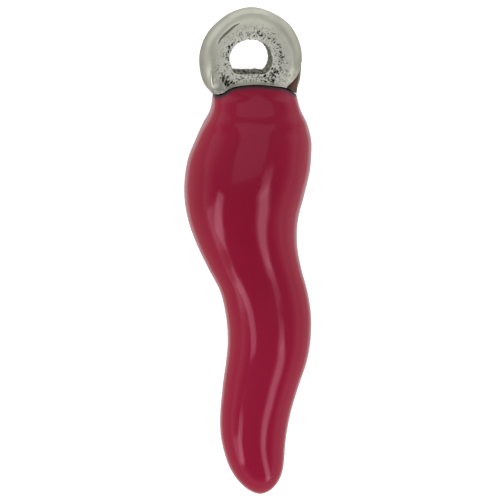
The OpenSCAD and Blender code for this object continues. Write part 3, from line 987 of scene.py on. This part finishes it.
def antiquedZinc():
    # Zinc alloy, cast and plated with old silver, blackened and then tumbled bright again: soft grey
    # metal, worn smooth on its high parts, with black left in the pits, the hole and the crevices, painted
    # highlights along its rims and edges, a painted dark reflection line, and darkening in the recess,
    # partly patina and partly painted shade
    look = metalLook
    material, add = startMaterial("antiqued_silver_plate")
    where = {"Vector": add("TexCoord").outputs["Object"]}
    masks = [add("Attribute", {"attribute_name": name}) for name in ("patina", "grain", "brown", "polish")]
    patina, grainy, brown, polish = [mask.outputs["Fac"] for mask in masks]
    smudge = add("TexNoise", {"Scale": perMetre / look["smudgeSize"], "Detail": 3.0}, where)
    grain = add("TexNoise", {"Scale": perMetre / look["grainSize"], "Detail": 3.0}, where)

    # Darkness: patina, painted shade and the grain's specks, but none under the painted highlights
    speck = add("ValToRGB", links={"Fac": grain}, stops=look["specks"])
    speck = add("Math", {"operation": "MULTIPLY"}, {0: speck, 1: grainy})
    speck = add("Math", {"operation": "MULTIPLY", 1: look["speckDark"]}, {0: speck})
    dark = add("Math", {"operation": "MAXIMUM"}, {0: patina, 1: speck})
    darkness = add("MapRange", {"To Max": 0.0}, {"Value": polish, "To Min": dark})

    # Colour: smudged plate, brighter where the grain is rubbed and where highlights are painted, under the
    # dark of patina and painted shade, which is brown in the recess
    clean = add("ValToRGB", links={"Fac": smudge}, stops=look["smudges"])
    shine = add("Math", {"operation": "MULTIPLY_ADD", 1: look["grainShine"]}, {0: grainy, 2: polish})
    bareAndHighlight = add("Mix", {"data_type": "RGBA", 7: linear(look["rubbedAndHighlight"])}, {0: shine, 6: clean})
    stain = add("Mix", {"data_type": "RGBA", 6: linear(look["dark"]), 7: linear(look["brown"])}, {0: brown})
    colour = add("Mix", {"data_type": "RGBA"}, {0: darkness, 6: bareAndHighlight.outputs[2], 7: stain.outputs[2]})

    smooth = add("MapRange", {"To Min": look["roughness"], "To Max": look["polishedRoughness"]},
                 {"Value": polish})
    rough = add("MapRange", {"To Max": look["blackRoughness"]}, {"Value": darkness, "To Min": smooth})
    rough = add("Math", {"operation": "MULTIPLY_ADD", 1: look["grainRoughness"]}, {0: grainy, 2: rough})
    height = add("Math", {"operation": "MULTIPLY"}, {0: grain, 1: grainy})
    bump = add("Bump", {"Strength": look["grainStrength"], "Distance": look["grainDepth"] * mm},
               {"Height": height})
    shader = add("BsdfPrincipled", {"Metallic": 1.0},
                 {"Base Color": colour.outputs[2], "Roughness": rough, "Normal": bump})
    add("OutputMaterial", links={"Surface": shader})
    return material


resin = polishedResin()
zinc = antiquedZinc()
for piece, material in ((pepper, resin), (loop, zinc), (post, zinc)):
    piece.data.materials.append(material)
print("materials made")


# Stage, light and camera

view = {
    "pitch": 6.05,  # degrees by which the photograph shows the loop end raised
    "roll": 6.5,  # degrees by which it shows the pendant turned to its right
    "pixelsPerMm": 12.2,
    "frame": 500,  # the photograph's side in pixels
    "loopX": 251.1,  # the loop's centre in pixels
    "loopY": 59.4,
    "scaleDepth": -2.0,  # mm above the loop's centre where the scale holds
    "distance": 0.9,  # metres, a long lens
    "sensor": 36,  # mm
}


def viewAxes():
    # The camera's right, up and backward axes, which lie down with the pendant
    own = turned(np.eye(3), view["pitch"], view["roll"])
    return (lieDown(np.eye(3)).T @ own).T


def makeCamera():
    # From the loop's centre to the middle of the frame, then back along the view
    half, scale = view["frame"] / 2, view["pixelsPerMm"]
    width = view["frame"] / scale * mm
    lens = bpy.data.cameras.new("camera")
    lens.clip_start = 0.01
    lens.sensor_width = view["sensor"]
    lens.lens = lens.sensor_width * view["distance"] / width
    seen = np.array([(half - view["loopX"]) / scale, (view["loopY"] - half) / scale, view["scaleDepth"]])
    axes = viewAxes()
    place = ownOrigin + seen * mm @ axes + axes[2] * view["distance"]
    camera = addObject("camera", lens)
    camera.matrix_world = placed(axes, place)
    scene.camera = camera


def placed(axes, place):
    # A matrix with these axes as its columns, standing at a place
    matrix = np.eye(4)
    matrix[:3, :3] = np.transpose(axes)
    matrix[:3, 3] = place
    return Matrix(matrix.tolist())


panels = {
    # degrees right of and above the line of sight, width, height and lean in degrees, brightness
    "left_window": (-50, -32, 14, 33, -32, 2.1),
    "left_curtain": (-58, -37, 28, 22, 0, 1.1),
    "right_window": (44, -46, 14, 50, 44, 1.8),
    "right_curtain": (43, -44, 22, 56, 44, 0.8),
    "right_card": (36, -17, 16, 16, 0, 1.0),
    "ceiling": (1, 20, 56, 56, 0, 0.46),
}
studio = {
    "panelDistance": 0.6,  # metres
    "domeLeft": 1.3,  # even light from everywhere, which the gloss doesn't mirror
    "domeRight": 0.85,
    "front": 0.08,  # what the gloss mirrors overhead towards the tip,
    "overhead": 0.28,  # towards the loop,
    "horizon": 0.75,  # and near the floor
    "floor": "#f4f4f4",
    "floorGlow": 0.45,  # the card is lit from behind, so that it stays white
    "floorLeft": "#8f8f8f",  # as the gloss mirrors it, left and right of the pendant
    "floorRight": "#a8a8a8",
    "floorBeyond": "#c6c6c6",  # and beyond its loop
    "floorSize": 1.5,  # metres to each side
    "besideTo": 15,  # mm from the middle where left and right are full
    "beyondFrom": 21,  # mm from the middle where beyond begins,
    "beyondTo": 27,  # and where it is full
}


def makeFloor():
    # Matt white card, which the gloss mirrors in darker tones
    look = studio
    size = look["floorSize"]
    mesh = bpy.data.meshes.new("floor")
    corners = [(-size, -size, 0), (size, -size, 0), (size, size, 0), (-size, size, 0)]
    mesh.from_pydata(corners, [], [(0, 1, 2, 3)])
    floor = addObject("floor", mesh)
    material, add = startMaterial("matt_white_card")
    ray = add("LightPath").outputs
    spot = add("SeparateXYZ", links={"Vector": add("TexCoord").outputs["Object"]}).outputs
    beside, start, end = look["besideTo"] * mm, look["beyondFrom"] * mm, look["beyondTo"] * mm
    side = add("MapRange", {"From Min": -beside, "From Max": beside}, {"Value": spot["X"]})
    beyond = add("MapRange", {"From Min": start, "From Max": end}, {"Value": spot["Y"]})
    mirrored = add("Mix", {
        "data_type": "RGBA", 6: linear(look["floorLeft"]), 7: linear(look["floorRight"])}, {0: side})
    mirrored = add("Mix", {"data_type": "RGBA", 7: linear(look["floorBeyond"])},
                   {0: beyond, 6: mirrored.outputs[2]})
    colour = add("Mix", {"data_type": "RGBA", 6: linear(look["floor"])},
                 {0: ray["Is Glossy Ray"], 7: mirrored.outputs[2]})
    glow = add("Math", {"operation": "MULTIPLY", 1: look["floorGlow"]}, {0: ray["Is Camera Ray"]})
    shader = add("BsdfPrincipled", {
        "Roughness": 0.9, "Specular IOR Level": 0.1, "Emission Color": (1, 1, 1, 1)},
        {"Base Color": colour.outputs[2], "Emission Strength": glow})
    add("OutputMaterial", links={"Surface": shader})
    mesh.materials.append(material)


def makePanel(name, across, along, wide, high, lean, brightness):
    # An even rectangle that faces the pendant: its power is brightness times pi times area
    away = math.radians(math.hypot(across, along))
    around = math.atan2(along, across)
    axes = viewAxes()
    right, up = math.sin(away) * math.cos(around), math.sin(away) * math.sin(around)
    towards = np.array([right, up, math.cos(away)]) @ axes
    side = np.cross(axes[1], towards)
    side /= np.linalg.norm(side)
    up = np.cross(towards, side)
    c, s = math.cos(math.radians(lean)), math.sin(math.radians(lean))
    side, up = c * side + s * up, c * up - s * side
    far = studio["panelDistance"]
    light = bpy.data.lights.new(name, "AREA")
    light.shape = "RECTANGLE"
    light.size = 2 * far * math.tan(math.radians(wide / 2))
    light.size_y = 2 * far * math.tan(math.radians(high / 2))
    light.energy = brightness * math.pi * light.size * light.size_y
    lamp = addObject(name, light)
    lamp.matrix_world = placed([side, up, towards], towards * far)


def makeWorld():
    # The gloss mirrors a dim room that brightens to the horizon, and all else gets an even dome
    world = bpy.data.worlds.new("studio")
    scene.world = world
    world.use_nodes = True
    world.node_tree.nodes.clear()
    add = partial(addNode, world.node_tree)
    heading = add("SeparateXYZ", links={"Vector": add("TexCoord").outputs["Generated"]}).outputs
    above = add("MapRange", {
        "From Min": -0.6, "From Max": 0.35, "To Min": studio["front"], "To Max": studio["overhead"]},
        {"Value": heading["Y"]})
    mirrored = add("MapRange", {
        "interpolation_type": "SMOOTHSTEP", "From Max": 0.5, "To Min": studio["horizon"]},
        {"Value": heading["Z"], "To Max": above})
    dome = add("MapRange", {"From Min": -1.0, "To Min": studio["domeLeft"], "To Max": studio["domeRight"]},
               {"Value": heading["X"]})
    ray = add("LightPath").outputs["Is Glossy Ray"]
    strength = add("MapRange", links={"Value": ray, "To Min": dome, "To Max": mirrored})
    glow = add("Background", {"Color": (1, 1, 1, 1)}, {"Strength": strength})
    add("OutputWorld", links={"Surface": glow})


makeFloor()
makeWorld()
makeCamera()
for name, panel in panels.items():
    makePanel(name, *panel)
scene.view_settings.view_transform = "Standard"
print("stage, light and camera made")
